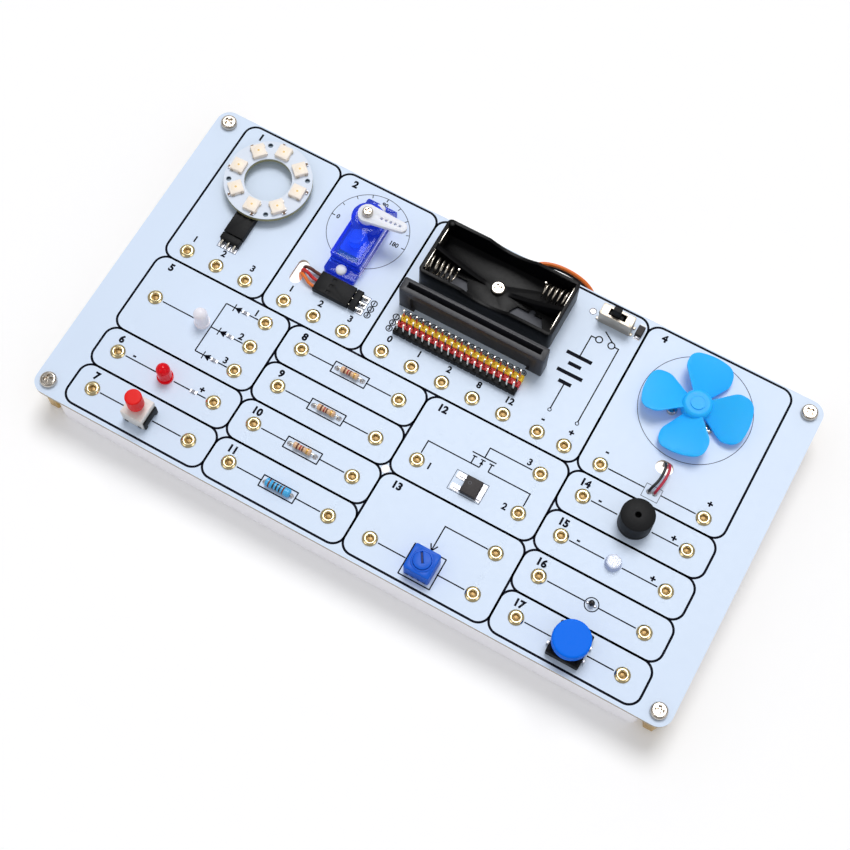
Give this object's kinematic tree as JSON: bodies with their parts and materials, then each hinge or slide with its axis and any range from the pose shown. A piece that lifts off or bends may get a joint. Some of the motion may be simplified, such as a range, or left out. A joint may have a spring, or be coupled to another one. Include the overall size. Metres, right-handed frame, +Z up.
{
  "type": "microcontroller experiment kit",
  "caption": "Classroom electronics board on a shallow tray, with framed modules, terminals, an LED ring, a servo, a fan, buttons, a trimmer and a battery holder.",
  "frame": {"origin": "centre of the resting face, on the table under the board's centre", "axes": "+X along the long side towards the fan, +Y towards the back edge with the switch, +Z up"},
  "size_m": [0.244, 0.1309, 0.0336],
  "materials": {
    "board_white": "bluish white solder resist with thin dark printed lines",
    "tray_plastic": "white moulded plastic",
    "nickel": "nickel-plated screws",
    "brass": "plain brass",
    "terminal_brass": "bright pale brass",
    "ring_white": "white solder resist",
    "led_cream": "cream LED bodies",
    "solder_metal": "tinned sheet and solder",
    "black_plastic": "black moulded plastic",
    "pin_gold": "gold-plated pins",
    "servo_blue": "deep blue see-through plastic",
    "nylon_white": "white nylon",
    "lead_brown": "brown lead insulation",
    "lead_red": "red lead insulation",
    "lead_orange": "orange lead insulation",
    "lead_black": "black lead insulation",
    "holder_black": "black moulded plastic",
    "spring_steel": "nickel-plated steel",
    "connector_black": "dark grey moulded plastic",
    "strip_yellow": "yellow moulded plastic",
    "strip_red": "red moulded plastic",
    "propeller_blue": "sky-blue see-through plastic",
    "lamp_clear": "clear epoxy",
    "cap_blue": "bright blue plastic",
    "lock_white": "white moulded plastic",
    "cap_red": "red plastic",
    "lamp_red": "red epoxy",
    "lamp_milky": "milky epoxy",
    "resistor_tan": "tan lacquer with colour bands",
    "resistor_blue": "light blue lacquer with colour bands",
    "chip_black": "chip resistors",
    "trimmer_blue": "blue moulded plastic"
  },
  "bodies": {
    "kit": {"angle_header_pins": "pin_gold", "angle_headers": "black_plastic", "base_tray": "tray_plastic", "battery_contacts": "spring_steel", "battery_holder": "holder_black", "battery_springs": "spring_steel", "battery_wire_black": "lead_black", "battery_wire_orange": "lead_orange", "blue_resistor": "resistor_blue", "buzzer": "black_plastic", "corner_screws": "nickel", "diode": "black_plastic", "edge_connector": "connector_black", "edge_contacts": "pin_gold", "fan_wire_black": "lead_black", "fan_wire_red": "lead_red", "header_pins": "pin_gold", "header_strip_black": "black_plastic", "header_strip_red": "strip_red", "header_strip_yellow": "strip_yellow", "holder_screw": "nickel", "lock_body": "lock_white", "lock_frame": "black_plastic", "main_board": "board_white", "mosfet": "black_plastic", "motor_can": "spring_steel", "motor_screws": "nickel", "ntc_bead": "black_plastic", "photocell": "lamp_clear", "plug_housings": "black_plastic", "red_led": "lamp_red", "rgb_led": "lamp_milky", "ring_board": "ring_white", "ring_capacitors": "solder_metal", "ring_leds": "led_cream", "servo_bottom_cover": "servo_blue", "servo_case": "servo_blue", "servo_ear_screws": "nylon_white", "servo_top_cover": "servo_blue", "servo_wire_brown": "lead_brown", "servo_wire_orange": "lead_orange", "servo_wire_red": "lead_red", "smd_resistors": "chip_black", "standoffs": "brass", "switch_base": "black_plastic", "switch_can": "solder_metal", "tact_base": "black_plastic", "tan_resistors": "resistor_tan", "terminal_sockets": "terminal_brass", "trimpot_body": "trimmer_blue"},
    "servo_output": {"servo_output_shaft": "nylon_white", "servo_horn": "nylon_white", "servo_horn_screw": "nickel"},
    "fan_rotor": {"motor_shaft": "spring_steel", "propeller": "propeller_blue"},
    "push_button": {"tact_plunger": "black_plastic", "button_cap": "cap_blue"},
    "latch_button": {"lock_cap": "cap_red"},
    "switch_slider": {"switch_knob": "black_plastic"},
    "trimmer_rotor": {"trimpot_rotor": "trimmer_blue"}
  },
  "joints": [
    {"name": "servo_turn", "type": "hinge", "parent": "kit", "child": "servo_output", "pos_m": [-0.05, 0.0454, 0.028], "axis": [0, 0, 1], "range_deg": [-4.5, 175.5]},
    {"name": "fan_spin", "type": "hinge", "parent": "kit", "child": "fan_rotor", "pos_m": [0.0821, 0.0408, 0.0216], "axis": [0, 0, 1], "continuous": true},
    {"name": "push_button_press", "type": "slide", "parent": "kit", "child": "push_button", "axis": [0, 0, 1], "range_m": [-0.0003, 0], "stiffness_N_per_m": 1000},
    {"name": "latch_button_press", "type": "slide", "parent": "kit", "child": "latch_button", "axis": [0, 0, 1], "range_m": [-0.002, 0], "stiffness_N_per_m": 500},
    {"name": "switch_slide", "type": "slide", "parent": "kit", "child": "switch_slider", "axis": [1, 0, 0], "range_m": [0, 0.002]},
    {"name": "trimmer_turn", "type": "hinge", "parent": "kit", "child": "trimmer_rotor", "pos_m": [0.02755, -0.05425, 0.023], "axis": [0, 0, 1], "range_deg": [-140, 140]}
  ]
}
